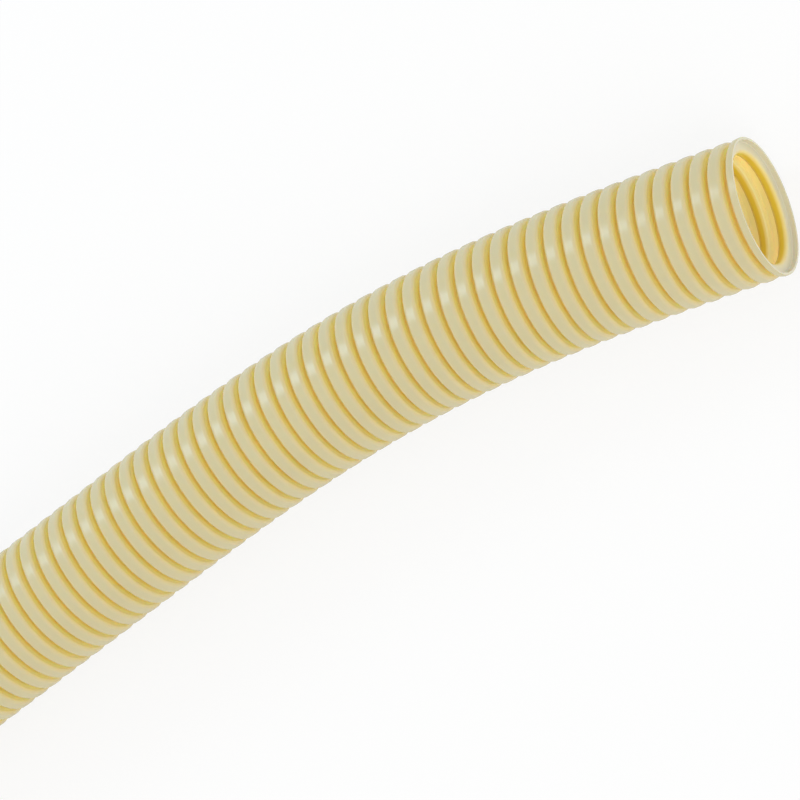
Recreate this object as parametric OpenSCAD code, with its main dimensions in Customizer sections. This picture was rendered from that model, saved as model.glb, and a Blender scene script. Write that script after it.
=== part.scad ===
// Corrugated electrical conduit: one length of single-wall pliable plastic pipe,
// cut from a coil. Stiff hollow ridges are joined by narrow roots, and the pipe bends
// by hinging a little at each root. It lies on the floor with its bend flat: the tail
// runs straight along +X, and the mouth is turned toward -Y.
// The origin is the centre of the tail's opening, on the pipe's axis.

/* [Pipe] */
// Diameter over the ridges
outer_d = 45.5; // [43:0.5:54]
// Diameter of the clear bore, inside the roots
bore_d = 36; // [30:0.5:38]
// Thickness of the plastic
wall = 0.9; // [0.6:0.05:1.1]
// Length along the axis
length = 1000; // [600:10:1400]

/* [Corrugation] */
// Distance from ridge to ridge
pitch = 6.4; // [6:0.1:7.7]
// Width of one ridge, over its flanks
ridge_w = 4.6; // [4:0.1:5]
// Radius of a ridge's two shoulders
shoulder_r = 1.2; // [0.8:0.05:1.4]

/* [Bend] */
// Turn from the tail's axis to the mouth's axis
bend_angle = 16.4; // [0:0.1:20]
// Number of roots that share the turn
bend_roots = 35; // [28:1:42]
// Number of straight roots between the bend and the mouth
mouth_roots = 3; // [2:1:8]

/* [Cut at the mouth] */
// Distance of the cut past the last ridge's first flank
mouth_cut = 2.7; // [1.6:0.1:2.9]

/* [Hidden] */
$fn = 72;
cream = [0.85, 0.81, 0.64];

outer_r = outer_d / 2;
bore_r = bore_d / 2;
root_r = bore_r + wall;
half_ridge = ridge_w / 2;
// Where each shoulder's centre lies: its radius, and its distance from the ridge's middle
shoulder_at = outer_r - shoulder_r;
half_land = half_ridge - shoulder_r;

// The tail is cut through the middle of a root, half a pitch before the first ridge,
// and the mouth through the last ridge
last = round((length + half_ridge - mouth_cut) / pitch - 0.5);
// The ridges where the bend starts and ends
bend_end = last - mouth_roots;
bend_start = bend_end - bend_roots;
// Each straight rod ends this far from a ridge's middle, well inside its hollow
rod_gap = (half_ridge - wall) / 2;

// Turn of a ridge against the tail: the bend starts and ends gently
function heading(i) =
    let (t = min(max((i - bend_start) / bend_roots, 0), 1)) -bend_angle * t * t * (3 - 2 * t);
function toward(angle) = [cos(angle), sin(angle), 0];

// Centre of each ridge: one pitch after the last, along the root between them
centres = [
    for (
        i = 0, c = [pitch / 2, 0, 0];
        i <= last;
        c = c + pitch * toward((heading(i) + heading(i + 1)) / 2), i = i + 1
    ) c
];

// Turns a half-section about the pipe's axis, with its zero at a ridge's middle
module revolve_at(centre, angle) {
    translate(centre) rotate([0, 90, angle]) rotate_extrude() children();
}

// Half-section of a filled ridge, with its round shoulders
module ridge_section() {
    translate([0, -half_ridge]) square([shoulder_at, ridge_w]);
    translate([0, -half_land]) square([outer_r, 2 * half_land]);
    for (side = [-1, 1]) translate([shoulder_at, side * half_land]) circle(shoulder_r);
}

// Half-section of the hollow inside a ridge
module hollow_section() {
    translate([0, wall - half_ridge]) square([outer_r - wall, ridge_w - 2 * wall]);
}

// A straight stretch of the pipe from one ridge to another, as one turned solid.
// Its child is a ridge's half-section, which repeats, and the rod through them all
// starts this far before the first ridge's middle and ends this far after the final one's
module straight_run(first, final, radius, before, after) {
    roots = final - first;
    revolve_at(centres[first], heading(first)) {
        for (i = [0 : roots]) translate([0, i * pitch]) children();
        translate([0, -before]) square([radius, before + roots * pitch + after]);
    }
}

// The pipe filled to its axis: the tail and the mouth are straight, and in the bend
// each ridge is a piece of its own, with a straight rod from inside it into the next
module filled_pipe(radius) {
    straight_run(0, bend_start, radius, pitch, -rod_gap) children();
    straight_run(bend_end, last, radius, -rod_gap, pitch) children();
    for (i = [bend_start + 1 : bend_end - 1]) revolve_at(centres[i], heading(i)) children();
    for (i = [bend_start : bend_end - 1])
        translate((centres[i] + centres[i + 1]) / 2)
            rotate([0, 90, (heading(i) + heading(i + 1)) / 2])
                cylinder(r = radius, h = pitch - 2 * rod_gap, center = true);
}

// What the cut at each end takes away
module offcuts() {
    revolve_at([0, 0, 0], 0) translate([0, -pitch]) square([outer_d, pitch]);
    revolve_at(centres[last], heading(last))
        translate([0, mouth_cut - half_ridge]) square([outer_d, 2 * pitch]);
}

module conduit() {
    color(cream) difference() {
        filled_pipe(root_r) ridge_section();
        filled_pipe(bore_r) hollow_section();
        offcuts();
    }
}

conduit();
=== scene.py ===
"""A metre of cream corrugated conduit, lying on a plain pale floor.

Everything is in metres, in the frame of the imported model: the pipe's axis starts at the
origin and runs along +X, a bend turns the mouth toward -Y, and +Z is up.
"""

import logging
import math
from dataclasses import dataclass, field
from enum import Enum
from typing import Any

import bpy
import numpy as np
from mathutils import Matrix, Vector

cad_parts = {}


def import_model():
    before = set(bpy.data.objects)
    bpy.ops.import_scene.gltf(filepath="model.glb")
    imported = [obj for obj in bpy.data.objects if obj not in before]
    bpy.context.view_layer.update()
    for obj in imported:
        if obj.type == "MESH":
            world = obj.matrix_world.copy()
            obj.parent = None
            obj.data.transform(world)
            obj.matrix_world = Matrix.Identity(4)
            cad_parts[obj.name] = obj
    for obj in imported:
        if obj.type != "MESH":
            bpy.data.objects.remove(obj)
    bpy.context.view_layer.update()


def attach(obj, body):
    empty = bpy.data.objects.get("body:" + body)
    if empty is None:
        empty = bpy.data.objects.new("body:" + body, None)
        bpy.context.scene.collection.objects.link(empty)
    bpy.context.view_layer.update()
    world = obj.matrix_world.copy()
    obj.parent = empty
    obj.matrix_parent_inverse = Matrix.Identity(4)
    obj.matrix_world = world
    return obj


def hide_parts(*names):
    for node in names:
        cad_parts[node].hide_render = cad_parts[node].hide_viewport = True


LOG = logging.getLogger("conduit")
MM = 0.001
HALF_RIDGE = 2.3 * MM
Array = np.ndarray
Triple = tuple[float, float, float]
Ramp = tuple[tuple[float, str], ...]
Tree = bpy.types.NodeTree
Socket = bpy.types.NodeSocket


def linear(hex_code: str) -> tuple[float, float, float, float]:
    """Turns a screen colour into the linear colour that a shader takes.

    Args:
        hex_code: Six hexadecimal digits, red first.

    Returns:
        Red, green, blue and an alpha of one.
    """
    values = [int(hex_code[i : i + 2], 16) / 255 for i in (0, 2, 4)]
    red, green, blue = (
        v / 12.92 if v <= 0.04045 else ((v + 0.055) / 1.055) ** 2.4 for v in values
    )
    return red, green, blue, 1.0


def add_node(
    tree: Tree, kind: str, settings: dict[str, Any] | None = None, **inputs: Any
) -> bpy.types.Node:
    """Adds one node, with its settings and its inputs.

    Args:
        tree: The node tree that takes the node.
        kind: The node's type name, such as ShaderNodeMix.
        settings: Attributes of the node, by name.
        inputs: Values or output sockets for its inputs, by name with _ for a space, or by
            number as i0, i1 and so on.

    Returns:
        The node.
    """
    node = tree.nodes.new(kind)
    for name, value in (settings or {}).items():
        setattr(node, name, value)
    for name, value in inputs.items():
        numbered = name[0] == "i" and name[1:].isdigit()
        socket = node.inputs[int(name[1:]) if numbered else name.replace("_", " ")]
        if isinstance(value, Socket):
            tree.links.new(value, socket)
        else:
            socket.default_value = value
    return node


def smooth(t: Array) -> Array:
    """Gives t squared times three minus two t, which starts and ends gently."""
    return t * t * (3 - 2 * t)


class Skin(Enum):
    """The two sides of the pipe's wall."""

    OUTSIDE = 0.0
    INSIDE = 1.0


class Detail(Enum):
    """How many points the rounded corners of one ridge get: foot, shoulder, bead, hollow."""

    FINE = (3, 4, 3, 2)
    PLAIN = (2, 3, 1, 1)


@dataclass(frozen=True)
class CentreLine:
    """Where the ridges stand: in a straight row, then round a bend to the mouth."""

    pitch: float = 6.4 * MM
    ridges: int = 157
    bend_angle: float = math.radians(16.4)
    bend_roots: int = 35
    mouth_roots: int = 3
    half_ridge: float = HALF_RIDGE

    def headings(self) -> Array:
        """Gives each ridge's turn, with one more ridge in thought before and after.

        The turn is -bend_angle * (3t^2 - 2t^3), where t runs from 0 to 1 along the bend.

        Returns:
            One angle for each ridge from -1 to ridges.
        """
        start = self.ridges - 1 - self.mouth_roots - self.bend_roots
        steps = np.arange(-1, self.ridges + 1) - start
        return -self.bend_angle * smooth(np.clip(steps / self.bend_roots, 0, 1))

    def centres(self) -> Array:
        """Adds up the steps from ridge to ridge, each along the root between the two.

        Returns:
            The x and y of each ridge's middle, from -1 to ridges.
        """
        turn = self.headings()
        between = (turn[:-1] + turn[1:]) / 2
        steps = self.pitch * np.column_stack([np.cos(between), np.sin(between)])
        first = np.array([[-self.pitch / 2, 0.0]])
        return np.vstack([first, first + np.cumsum(steps, axis=0)])

    def place(self, ridge: Array, offset: Array) -> tuple[Array, Array]:
        """Finds points of the axis that stand a given way from a ridge's middle.

        Within a ridge the axis is straight. From its foot it goes on to the middle of the
        root, and takes on half of the next ridge's extra turn on the way.

        Args:
            ridge: Number of the ridge that each point belongs to.
            offset: Distance along the axis from that ridge's middle.

        Returns:
            The x and y of each point, and the heading there.
        """
        turn, centre = self.headings(), self.centres()
        here = ridge + 1
        beyond = here + np.where(offset < 0, -1, 1)
        along = np.column_stack([np.cos(turn[here]), np.sin(turn[here])])
        inner = np.clip(offset, -self.half_ridge, self.half_ridge)
        foot = centre[here] + inner[:, None] * along
        half_land = self.pitch / 2 - self.half_ridge
        share = np.clip((np.abs(offset) - self.half_ridge) / half_land, 0, 1)
        middle = (centre[here] + centre[beyond]) / 2
        heading = turn[here] + share * (turn[beyond] - turn[here]) / 2
        return foot + share[:, None] * (middle - foot), heading


@dataclass
class Section:
    """The wall's section as one closed loop of points, and what each carries.

    The loop runs along the outside from tail to mouth, and back along the inside.
    """

    ridge: Array
    offset: Array
    radius: Array
    normal: Array
    skin: Array

    def columns(self) -> tuple[Array, ...]:
        """Lists what the points carry, in the order of the fields."""
        return self.ridge, self.offset, self.radius, self.normal, self.skin

    def kept(self, keep: Array) -> "Section":
        """Keeps the points for which the given array is true."""
        return Section(*(column[keep] for column in self.columns()))

    @staticmethod
    def joined(parts: list["Section"]) -> "Section":
        """Puts stretches of the loop one after the other."""
        return Section(*map(np.concatenate, zip(*(part.columns() for part in parts))))


def arc(
    centre: tuple[float, float], radius: float, start: float, end: float, count: int
) -> tuple[Array, Array]:
    """Spaces points evenly on an arc: centre plus radius times (cosine, sine).

    Args:
        centre: Offset and radius of its centre in the section.
        radius: The arc's own radius.
        start: Angle of its first point, in degrees from the pipe's axis.
        end: Angle of its last point. A single point stands halfway.
        count: Number of points.

    Returns:
        The points, and the outward direction at each.
    """
    turn = np.radians(np.linspace(start, end, count) if count > 1 else [(start + end) / 2])
    out = np.column_stack([np.cos(turn), np.sin(turn)])
    return np.array(centre) + radius * out, out


@dataclass(frozen=True)
class RidgedWall:
    """One ridge and the roots at its sides, as half-sections of a wall of even thickness."""

    outer_r: float = 22.75 * MM
    bore_r: float = 18.0 * MM
    wall: float = 0.9 * MM
    half_ridge: float = HALF_RIDGE
    shoulder: float = 1.2 * MM
    foot: float = 0.7 * MM
    bead: float = 1.5 * MM
    corner: float = 0.4 * MM

    def outside_half(self, detail: Detail) -> tuple[Array, Array]:
        """Follows the outside from the foot at -X up to the crest.

        Args:
            detail: How finely the corners are rounded.

        Returns:
            Points as (offset, radius), and normals.
        """
        foot_points, shoulder_points, _, _ = detail.value
        root_r = self.bore_r + self.wall
        low, down = arc(
            (-self.half_ridge - self.foot, root_r + self.foot), self.foot, -90, 0, foot_points
        )
        high, up = arc(
            (self.shoulder - self.half_ridge, self.outer_r - self.shoulder),
            self.shoulder, 180, 90, shoulder_points,
        )
        return np.vstack([low, high]), np.vstack([-down, up])

    def inside_half(self, detail: Detail) -> tuple[Array, Array]:
        """Follows the inside from the hollow's top at -X down to the root's bead.

        Args:
            detail: How finely the corners are rounded.

        Returns:
            Points as (offset, radius), and normals.
        """
        _, _, bead_points, corner_points = detail.value
        edge, top = self.half_ridge - self.wall, self.outer_r - self.wall
        high, up = arc(
            (self.corner - edge, top - self.corner), self.corner, 90, 180, corner_points
        )
        low, down = arc(
            (-edge - self.bead, self.bore_r + self.bead), self.bead, 0, -90, bead_points
        )
        return np.vstack([high, low]), np.vstack([-up, down])

    def stretch(self, skin: Skin, detail: Detail, numbers: Array) -> Section:
        """Repeats one side of a ridge along the pipe.

        Args:
            skin: Outside, which runs toward the mouth, or inside, which runs back.
            detail: How finely the corners are rounded.
            numbers: The ridges' numbers, in the order in which the loop meets them.

        Returns:
            That stretch of the loop.
        """
        mirror = np.array([-1.0, 1.0])
        if skin is Skin.OUTSIDE:
            points, normals = self.outside_half(detail)
            points = np.vstack([points, points[::-1] * mirror])
            normals = np.vstack([normals, normals[::-1] * mirror])
        else:
            points, normals = self.inside_half(detail)
            points = np.vstack([points[::-1] * mirror, points])
            normals = np.vstack([normals[::-1] * mirror, normals])
        many = len(numbers)
        return Section(
            np.repeat(numbers, len(points)),
            np.tile(points[:, 0], many),
            np.tile(points[:, 1], many),
            np.tile(normals, (many, 1)),
            np.full(many * len(points), skin.value),
        )


@dataclass
class Conduit:
    """The whole pipe: one closed wall, carried round its axis and along its line.

    mouth_cut is where the mouth is cut, past the middle of the last ridge, and open_rise is
    the height over the bore at which the hollow that it lays open takes wholly the cut's
    lighter cream, painted light against the shade in that hollow.
    """

    line: CentreLine = field(default_factory=CentreLine)
    wall: RidgedWall = field(default_factory=RidgedWall)
    around: int = 36
    fine_at_mouth: int = 48
    fine_at_tail: int = 5
    mouth_cut: float = 0.4 * MM
    lip: float = 0.12 * MM
    open_rise: float = 2.1 * MM

    def section(self) -> Section:
        """Lays the whole loop out: every ridge outside, the mouth, every hollow, the tail.

        Returns:
            The loop, cut half a pitch before the first ridge and just past the middle of
            the last.
        """
        count = self.line.ridges
        bounds = [0, self.fine_at_tail, count - self.fine_at_mouth, count]
        zones = list(zip(bounds[:-1], bounds[1:], (Detail.FINE, Detail.PLAIN, Detail.FINE)))
        out = [
            self.wall.stretch(Skin.OUTSIDE, detail, np.arange(a, b)) for a, b, detail in zones
        ]
        back = [
            self.wall.stretch(Skin.INSIDE, detail, np.arange(a, b)[::-1])
            for a, b, detail in zones[::-1]
        ]
        outside, inside = self.trimmed(Section.joined(out)), self.trimmed(Section.joined(back))
        crest, top = self.wall.outer_r, self.wall.outer_r - self.wall.wall
        root, bore = self.wall.bore_r + self.wall.wall, self.wall.bore_r
        last, cut, half = count - 1, self.mouth_cut, self.line.pitch / 2
        mouth = self.rim(last, [(cut - self.lip, crest), (cut, crest - self.lip),
                                (cut, top + self.lip), (cut - self.lip, top)], 1.0)
        tail = self.rim(0, [(self.lip - half, bore), (-half, bore + self.lip),
                            (-half, root - self.lip), (self.lip - half, root)], -1.0)
        return Section.joined([outside, mouth, inside, tail])

    def trimmed(self, loop: Section) -> Section:
        """Drops what lies past the cut through the last ridge."""
        past = (loop.ridge == self.line.ridges - 1) & (loop.offset > self.mouth_cut - self.lip)
        return loop.kept(~past)

    def rim(self, ridge: int, points: list[tuple[float, float]], way: float) -> Section:
        """Rounds a cut end from one side of the wall to the other.

        Args:
            ridge: Number of the ridge that the offsets are measured from.
            points: Offset and radius of the rim's four points.
            way: 1 where the cut faces the mouth's way, -1 where it faces the tail's.

        Returns:
            The rim, as four points of the loop.
        """
        offset, radius = np.array(points).T
        side = np.array([way, way, -way, -way])
        lean = np.array([0.0, 1.0, 1.0, 0.0])
        normal = np.column_stack([way * lean, side * (1 - lean)])
        skin = np.array([0.0, 0.0, 1.0, 1.0]) if way > 0 else np.array([1.0, 1.0, 0.0, 0.0])
        return Section(np.full(4, ridge), offset, radius, normal, skin)

    def surface(self, loop: Section) -> tuple[Array, Array]:
        """Carries the loop round the axis.

        A point is the axis's point, plus its radius times (sideways * sine + up * cosine) of
        the angle round the pipe. Its normal turns with it.

        Args:
            loop: The wall's section.

        Returns:
            Positions and normals, each one row a point of the loop by one column an angle.
        """
        at, heading = self.line.place(loop.ridge, loop.offset)
        angle = np.arange(self.around) * 2 * math.pi / self.around
        flat = np.zeros(len(heading))
        along = np.stack([np.cos(heading), np.sin(heading), flat], axis=1)[:, None, :]
        sideways = np.stack([-np.sin(heading), np.cos(heading), flat], axis=1)[:, None, :]
        up = np.array([0.0, 0.0, 1.0])
        spoke = sideways * np.sin(angle)[None, :, None] + up * np.cos(angle)[None, :, None]
        axis = np.column_stack([at, flat])[:, None, :]
        place = axis + loop.radius[:, None, None] * spoke
        normal = loop.normal[:, 0, None, None] * along + loop.normal[:, 1, None, None] * spoke
        return place, normal

    def build(self) -> bpy.types.Object:
        """Makes the pipe's mesh, with its normals and four values for its plastic.

        The values are groove, the depth in a groove or a hollow; across, the way from a
        ridge's middle, -1 and 1 at its feet; inside, 1 in the pipe; and rim, 1 where the
        mouth's cut lays the last hollow open, which counts as neither deep nor inside and takes
        the cut's lighter cream, painted light against its shade. Groove and inside pick the
        colours that paint in the light through the wall.

        Returns:
            The pipe, at the origin.
        """
        loop = self.section()
        place, normal = self.surface(loop)
        rows, columns = place.shape[:2]
        row, column = np.meshgrid(np.arange(rows), np.arange(columns), indexing="ij")
        next_row, next_column = (row + 1) % rows, (column + 1) % columns
        faces = np.stack(
            [
                row * columns + column,
                next_row * columns + column,
                next_row * columns + next_column,
                row * columns + next_column,
            ],
            axis=-1,
        ).reshape(-1, 4)
        mesh = bpy.data.meshes.new("conduit_pipe")
        mesh.vertices.add(rows * columns)
        mesh.vertices.foreach_set("co", place.astype(np.float32).ravel())
        mesh.loops.add(faces.size)
        mesh.loops.foreach_set("vertex_index", faces.astype(np.int32).ravel())
        mesh.polygons.add(len(faces))
        mesh.polygons.foreach_set("loop_start", np.arange(0, faces.size, 4, dtype=np.int32))
        mesh.update(calc_edges=True)
        mesh.polygons.foreach_set("use_smooth", np.ones(len(faces), dtype=bool))
        # Painted light: the opened hollow drops its groove and inside values, to take the cut's
        # lighter cream against its shade.
        opened = self.opened(loop)
        self.store(mesh, "groove", np.repeat(self.groove(loop) * (1 - opened), columns))
        self.store(mesh, "across", np.repeat(loop.offset / self.line.half_ridge, columns))
        self.store(mesh, "inside", np.repeat(loop.skin - opened, columns))
        self.store(mesh, "rim", np.repeat(opened, columns))
        mesh.normals_split_custom_set_from_vertices(normal.reshape(-1, 3))
        mesh.validate()
        pipe = bpy.data.objects.new("conduit_pipe", mesh)
        bpy.context.scene.collection.objects.link(pipe)
        return pipe

    def groove(self, loop: Section) -> Array:
        """Tells how deep each point lies in its groove, outside, or in its hollow, inside.

        Args:
            loop: The wall's section.

        Returns:
            One number for each point: 0 on the crest or the bead, 1 on the root or at the
            hollow's top.
        """
        rise = self.wall.outer_r - self.wall.bore_r - self.wall.wall
        outside = (self.wall.outer_r - loop.radius) / rise
        inside = (loop.radius - self.wall.bore_r) / rise
        return np.clip(np.where(loop.skin > 0, inside, outside), 0, 1)

    def opened(self, loop: Section) -> Array:
        """Tells where the mouth's cut lays a hollow open, to give it the cut's lighter cream,
        painted light against the shade in that hollow.

        Args:
            loop: The wall's section.

        Returns:
            One number for each point: 1 in that hollow, fading to 0 at its bead.
        """
        rise = np.clip((loop.radius - self.wall.bore_r) / self.open_rise, 0, 1)
        return np.where(loop.ridge == self.line.ridges - 1, loop.skin * smooth(rise), 0.0)

    @staticmethod
    def store(mesh: bpy.types.Mesh, name: str, values: Array) -> None:
        """Keeps one number for each vertex under a name that a material can read."""
        attribute = mesh.attributes.new(name, "FLOAT", "POINT")
        attribute.data.foreach_set("value", values.astype(np.float32))


@dataclass(frozen=True)
class CreamPlastic:
    """Cream plastic, extruded and drawn into the ring moulds that form its ridges.

    The moulds leave it glossy, with a faint grain and mottle, and its thin wall lets light
    through. So it looks yellower in its grooves and on the beads inside, and the colours paint
    that light in. Those of outside run from the crest's own cream to brighter, yellower flanks
    and root, painted light that passes through the wall and bounces in the grooves. Those of
    inside run from a deep yellow bead to a pale top of the hollow, painted light and shade of
    the light that comes through the crests and less through the roots. The grain is drawn as
    coarse as it needs to be to show.
    """

    # Painted light: past the crest's own cream these grow brighter and yellower, for the light
    # that passes through the thin wall and bounces in the grooves.
    outside: Ramp = (
        (0.0, "D0C69B"),
        (0.08, "DACB9B"),
        (0.18, "E5D79E"),
        (0.45, "FFF4B2"),
        (0.8, "FFEA9C"),
        (1.0, "ECD078"),
    )
    # Painted light and shade: pale at the hollow's top, where light comes through the crest, and
    # deep yellow on the bead, where less comes through the root.
    inside: Ramp = ((0.0, "ECCE48"), (0.03, "ECCE48"), (0.22, "FCF0B8"), (1.0, "F6E490"))
    # Cream of the plastic on the cut's inner edge and in the hollow the cut lays open, lighter
    # than the crest: painted light against the shade in that hollow.
    cut: str = "E0DBC2"
    painted_cut_from: float = 0.001
    edge_from: float = 0.2
    edge_depth: float = 0.08
    roughness: float = 0.22
    unevenness: float = 0.03
    ior: float = 1.5
    glow_crest: float = 0.3
    glow_root: float = 0.95
    scatter: float = 1.3 * MM
    scatter_reach: Triple = (1.0, 0.7, 0.3)
    # Strength and colour of a painted glow in the hollows, an emission that stands for daylight
    # through the thin wall.
    daylight: float = 0.17
    daylight_shade: str = "FBF2CC"
    mottle: float = 14.0 * MM
    mottle_range: tuple[float, float] = (0.2, 0.8)
    mottle_shades: tuple[float, float] = (0.985, 1.01)
    grain: float = 0.5 * MM
    grain_height: float = 0.02 * MM
    grain_strength: float = 0.15

    def material(self) -> bpy.types.Material:
        """Builds the shader from its colour, gloss, grain and the light in its wall, which is
        scattered and, in the hollows, also a painted glow.

        Returns:
            The material.
        """
        made = bpy.data.materials.new("cream_plastic")
        made.use_nodes = True
        tree = made.node_tree
        tree.nodes.clear()
        stored = {
            name: add_node(tree, "ShaderNodeAttribute", {"attribute_name": name}).outputs["Fac"]
            for name in ("groove", "across", "inside", "rim")
        }
        where = add_node(tree, "ShaderNodeTexCoord").outputs["Object"]
        mottle = add_node(
            tree, "ShaderNodeTexNoise", Vector=where, Scale=1 / self.mottle, Detail=1.0
        )
        glow = add_node(
            tree, "ShaderNodeMapRange",
            Value=stored["groove"], To_Min=self.glow_crest, To_Max=self.glow_root,
        )
        shader = add_node(
            tree, "ShaderNodeBsdfPrincipled",
            Base_Color=self.colour(tree, stored, mottle.outputs["Fac"]),
            Roughness=self.gloss(tree, mottle.outputs["Fac"]),
            IOR=self.ior,
            Subsurface_Weight=glow.outputs["Result"],
            Subsurface_Radius=self.scatter_reach,
            Subsurface_Scale=self.scatter,
            # Painted glow: the hollows emit light, standing for daylight through the thin wall.
            Emission_Color=linear(self.daylight_shade),
            Emission_Strength=self.light_through(tree, stored),
            Normal=self.relief(tree, where),
        )
        add_node(tree, "ShaderNodeOutputMaterial", Surface=shader.outputs["BSDF"])
        return made

    def colour(self, tree: Tree, stored: dict[str, Socket], mottle: Socket) -> Socket:
        """Picks the colour by side and depth, with the light through the wall painted in, and
        mottles it.

        Outside, the depth is the groove's or, where that is more, edge_depth times a smooth
        step that runs from edge_from, off the ridge's middle, to 1 at its foot.

        Args:
            tree: The material's node tree.
            stored: The mesh's own values, by name.
            mottle: A slow noise.

        Returns:
            The colour.
        """
        off_middle = add_node(
            tree, "ShaderNodeMath", {"operation": "ABSOLUTE"}, i0=stored["across"]
        )
        edge = add_node(
            tree, "ShaderNodeMapRange", {"interpolation_type": "SMOOTHSTEP"},
            Value=off_middle.outputs[0], From_Min=self.edge_from, To_Max=self.edge_depth,
        )
        depth = add_node(
            tree, "ShaderNodeMath", {"operation": "MAXIMUM"},
            i0=stored["groove"], i1=edge.outputs["Result"],
        )
        outer = add_node(tree, "ShaderNodeValToRGB", Fac=depth.outputs[0])
        self.fill(outer.color_ramp, self.outside)
        inner = add_node(tree, "ShaderNodeValToRGB", Fac=stored["groove"])
        self.fill(inner.color_ramp, self.inside)
        # Painted light: the opened hollow takes the cut's lighter cream against its shade.
        painted_light_at_cut = add_node(
            tree, "ShaderNodeMath", {"operation": "GREATER_THAN"},
            i0=stored["rim"], i1=self.painted_cut_from,
        )
        outer_or_painted_cut = add_node(
            tree, "ShaderNodeMix", {"data_type": "RGBA"},
            i0=painted_light_at_cut.outputs[0], i6=outer.outputs["Color"], i7=linear(self.cut),
        )
        skin = add_node(
            tree, "ShaderNodeMix", {"data_type": "RGBA"},
            i0=stored["inside"], i6=outer_or_painted_cut.outputs[2], i7=inner.outputs["Color"],
        )
        low, high = self.mottle_range
        dark, light = self.mottle_shades
        shade = add_node(
            tree, "ShaderNodeMapRange",
            Value=mottle, From_Min=low, From_Max=high, To_Min=dark, To_Max=light,
        )
        mottled = add_node(
            tree, "ShaderNodeMix", {"data_type": "RGBA", "blend_type": "MULTIPLY"},
            i0=1.0, i6=skin.outputs[2], i7=shade.outputs["Result"],
        )
        return mottled.outputs[2]

    def gloss(self, tree: Tree, mottle: Socket) -> Socket:
        """Lets the roughness drift by its unevenness, with the mottle.

        Args:
            tree: The material's node tree.
            mottle: A slow noise.

        Returns:
            The roughness.
        """
        low, high = self.mottle_range
        drift = add_node(
            tree, "ShaderNodeMapRange", Value=mottle, From_Min=low, From_Max=high,
            To_Min=self.roughness - self.unevenness, To_Max=self.roughness + self.unevenness,
        )
        return drift.outputs["Result"]

    def light_through(self, tree: Tree, stored: dict[str, Socket]) -> Socket:
        """Makes the hollows glow, a painted light that stands for daylight through the wall:
        inside * groove * daylight.

        Args:
            tree: The material's node tree.
            stored: The mesh's own values, by name.

        Returns:
            The strength of that light.
        """
        hollow = add_node(
            tree, "ShaderNodeMath", {"operation": "MULTIPLY"},
            i0=stored["inside"], i1=stored["groove"],
        )
        through = add_node(
            tree, "ShaderNodeMath", {"operation": "MULTIPLY"},
            i0=hollow.outputs[0], i1=self.daylight,
        )
        return through.outputs[0]

    def relief(self, tree: Tree, where: Socket) -> Socket:
        """Gives the surface its fine grain.

        Args:
            tree: The material's node tree.
            where: The coordinates.

        Returns:
            The bumped normal.
        """
        grain = add_node(
            tree, "ShaderNodeTexNoise", Vector=where, Scale=1 / self.grain, Detail=2.0
        )
        bump = add_node(
            tree, "ShaderNodeBump", Strength=self.grain_strength,
            Distance=self.grain_height, Height=grain.outputs["Fac"],
        )
        return bump.outputs["Normal"]

    @staticmethod
    def fill(ramp: bpy.types.ColorRamp, stops: Ramp) -> None:
        """Gives a colour ramp its stops, each a place from 0 to 1 and a screen colour.

        Args:
            ramp: The ramp of a node that has just been added.
            stops: Two stops or more, in order.
        """
        while len(ramp.elements) < len(stops):
            ramp.elements.new(0.5)
        for element, (place, code) in zip(ramp.elements, stops):
            element.position, element.color = place, linear(code)


@dataclass(frozen=True)
class Lamp:
    """A soft rectangular lamp that hangs some way off its aim, with its long side along a line."""

    name: str
    way: Triple
    along: Triple
    distance: float
    size: tuple[float, float]
    power: float
    shines: bool = True
    tint: Triple = (1.0, 1.0, 1.0)

    def hang(self, aim: Vector) -> None:
        """Places the lamp so that it faces its aim.

        Args:
            aim: The point that it lights.
        """
        light = bpy.data.lights.new(self.name, "AREA")
        light.shape = "RECTANGLE"
        light.size, light.size_y = self.size
        light.energy, light.color = self.power, self.tint
        lamp = bpy.data.objects.new(self.name, light)
        bpy.context.scene.collection.objects.link(lamp)
        way = Vector(self.way).normalized()
        across = way.cross(Vector(self.along)).normalized()
        turned = Matrix((across.cross(way), across, way)).transposed().to_4x4()
        lamp.matrix_world = Matrix.Translation(aim + way * self.distance) @ turned
        lamp.visible_glossy = self.shines


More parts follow.
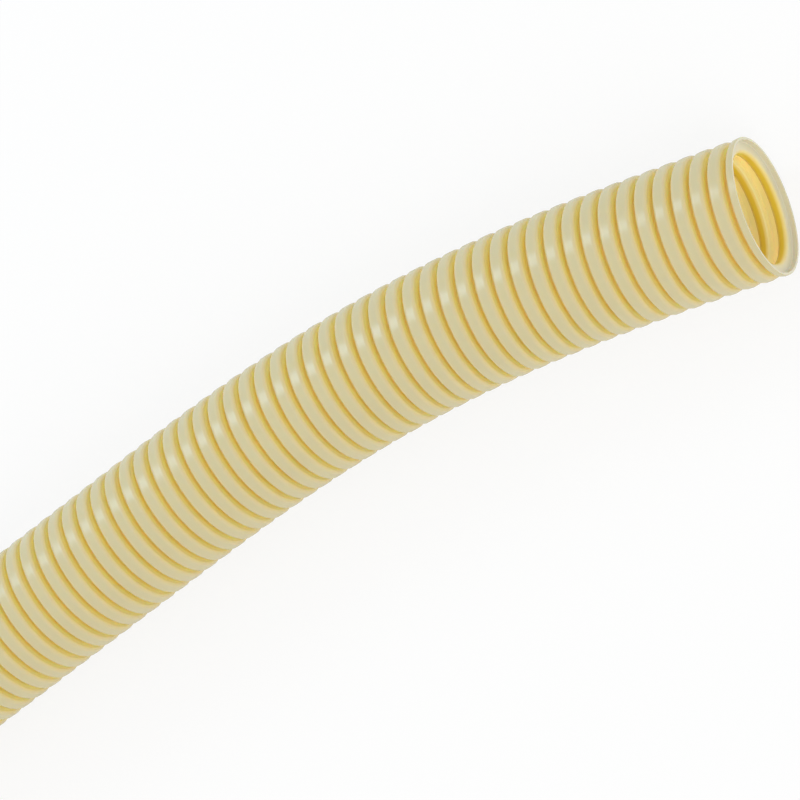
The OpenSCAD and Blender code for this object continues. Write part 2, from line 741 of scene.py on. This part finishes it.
@dataclass(frozen=True)
class Studio:
    """A plain white floor under an even white sky, with two large soft lamps."""

    floor_z: float = -RidgedWall.outer_r
    floor_size: float = 8.0
    floor_middle: float = 0.5
    floor_tiles: int = 8
    floor_shade: str = "F8F8F8"
    floor_glow: float = 0.82
    sky: float = 0.78
    aim: Triple = (0.86, -0.017, 0.0)
    lamps: tuple[Lamp, ...] = (
        Lamp("side_lamp", (-0.448, 1.23, 0.92), (0.9, -0.13, 0.43), 1.6, (0.95, 0.5), 6.2,
             tint=(0.64, 0.82, 1.0)),
        Lamp("top_lamp", (0.4, -0.62, 0.68), (1.0, 0.0, 0.0), 1.8, (1.3, 1.3), 7.5, shines=False,
             tint=(1.0, 0.96, 0.82)),
    )

    def build(self) -> None:
        """Makes the floor, the sky and the lamps."""
        self.floor()
        self.paint_sky()
        for lamp in self.lamps:
            lamp.hang(Vector(self.aim))

    def floor(self) -> bpy.types.Object:
        """Makes the floor: a square grid at the height of the ridges' lowest points.

        Returns:
            The floor.
        """
        tiles = self.floor_tiles
        wide = tiles + 1
        side = np.linspace(-self.floor_size / 2, self.floor_size / 2, wide)
        x, y = np.meshgrid(side + self.floor_middle, side, indexing="ij")
        points = np.column_stack([x.ravel(), y.ravel(), np.full(x.size, self.floor_z)])
        row, column = np.meshgrid(np.arange(tiles), np.arange(tiles), indexing="ij")
        corner = (row * wide + column).ravel()
        faces = np.column_stack([corner, corner + wide, corner + wide + 1, corner + 1])
        mesh = bpy.data.meshes.new("floor")
        mesh.from_pydata(points.tolist(), [], faces.tolist())
        floor = bpy.data.objects.new("floor", mesh)
        bpy.context.scene.collection.objects.link(floor)
        mesh.materials.append(self.floor_paint())
        return floor

    def floor_paint(self) -> bpy.types.Material:
        """Builds matt white paint, which the camera sees partly as plain white.

        Returns:
            The material.
        """
        made = bpy.data.materials.new("floor_paint")
        made.use_nodes = True
        tree = made.node_tree
        tree.nodes.clear()
        path = add_node(tree, "ShaderNodeLightPath")
        share = add_node(
            tree, "ShaderNodeMath", {"operation": "MULTIPLY"},
            i0=path.outputs["Is Camera Ray"], i1=self.floor_glow,
        )
        matt = add_node(tree, "ShaderNodeBsdfDiffuse", Color=linear(self.floor_shade))
        white = add_node(tree, "ShaderNodeEmission", Strength=1.0)
        both = add_node(
            tree, "ShaderNodeMixShader",
            i0=share.outputs[0], i1=matt.outputs[0], i2=white.outputs[0],
        )
        add_node(tree, "ShaderNodeOutputMaterial", Surface=both.outputs[0])
        return made

    def paint_sky(self) -> None:
        """Lights the scene evenly, and shows the camera and mirror rays plain white."""
        world = bpy.data.worlds.new("sky")
        bpy.context.scene.world = world
        world.use_nodes = True
        tree = world.node_tree
        tree.nodes.clear()
        path = add_node(tree, "ShaderNodeLightPath")
        clear = add_node(
            tree, "ShaderNodeMath", {"operation": "MAXIMUM"},
            i0=path.outputs["Is Glossy Ray"], i1=path.outputs["Is Transmission Ray"],
        )
        seen = add_node(
            tree, "ShaderNodeMath", {"operation": "MAXIMUM"},
            i0=path.outputs["Is Camera Ray"], i1=clear.outputs[0],
        )
        strength = add_node(
            tree, "ShaderNodeMapRange",
            Value=seen.outputs[0], To_Min=self.sky, To_Max=1.0,
        )
        sky = add_node(
            tree, "ShaderNodeBackground", Color=(1, 1, 1, 1), Strength=strength.outputs["Result"]
        )
        add_node(tree, "ShaderNodeOutputWorld", Surface=sky.outputs[0])


@dataclass(frozen=True)
class Viewpoint:
    """A long lens that looks down on the bend and the mouth."""

    aim: Triple = (0.85960, -0.01671, 0.0)
    azimuth: float = -18.671
    elevation: float = 66.756
    roll: float = -106.909
    distance: float = 1.96946
    lens: float = 277.08
    sensor: float = 36.0
    clip: tuple[float, float] = (0.05, 50.0)

    def place(self) -> None:
        """Puts the camera where it looks at its aim from the given side and height."""
        turn, rise, roll = map(math.radians, (self.azimuth, self.elevation, self.roll))
        back = Vector(
            (math.cos(rise) * math.cos(turn), math.cos(rise) * math.sin(turn), math.sin(rise))
        )
        level = Vector((0, 0, 1)).cross(back).normalized()
        steep = back.cross(level)
        right = level * math.cos(roll) + steep * math.sin(roll)
        up = back.cross(right)
        lens = bpy.data.cameras.new("camera")
        lens.lens, lens.sensor_width = self.lens, self.sensor
        lens.clip_start, lens.clip_end = self.clip
        camera = bpy.data.objects.new("camera", lens)
        bpy.context.scene.collection.objects.link(camera)
        turned = Matrix((right, up, back)).transposed().to_4x4()
        camera.matrix_world = Matrix.Translation(Vector(self.aim) + back * self.distance) @ turned
        bpy.context.scene.camera = camera


def main() -> None:
    """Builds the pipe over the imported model's frame, dresses it and sets the stage."""
    logging.basicConfig(level=logging.INFO, format="%(name)s: %(message)s")
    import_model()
    Viewpoint().place()
    Studio().build()
    pipe = Conduit().build()
    pipe.data.materials.append(CreamPlastic().material())
    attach(pipe, "root")
    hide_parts("conduit")
    LOG.info("%s: %d faces", pipe.name, len(pipe.data.polygons))
    bpy.context.scene.view_settings.view_transform = "Standard"


if __name__ == "__main__":
    main()
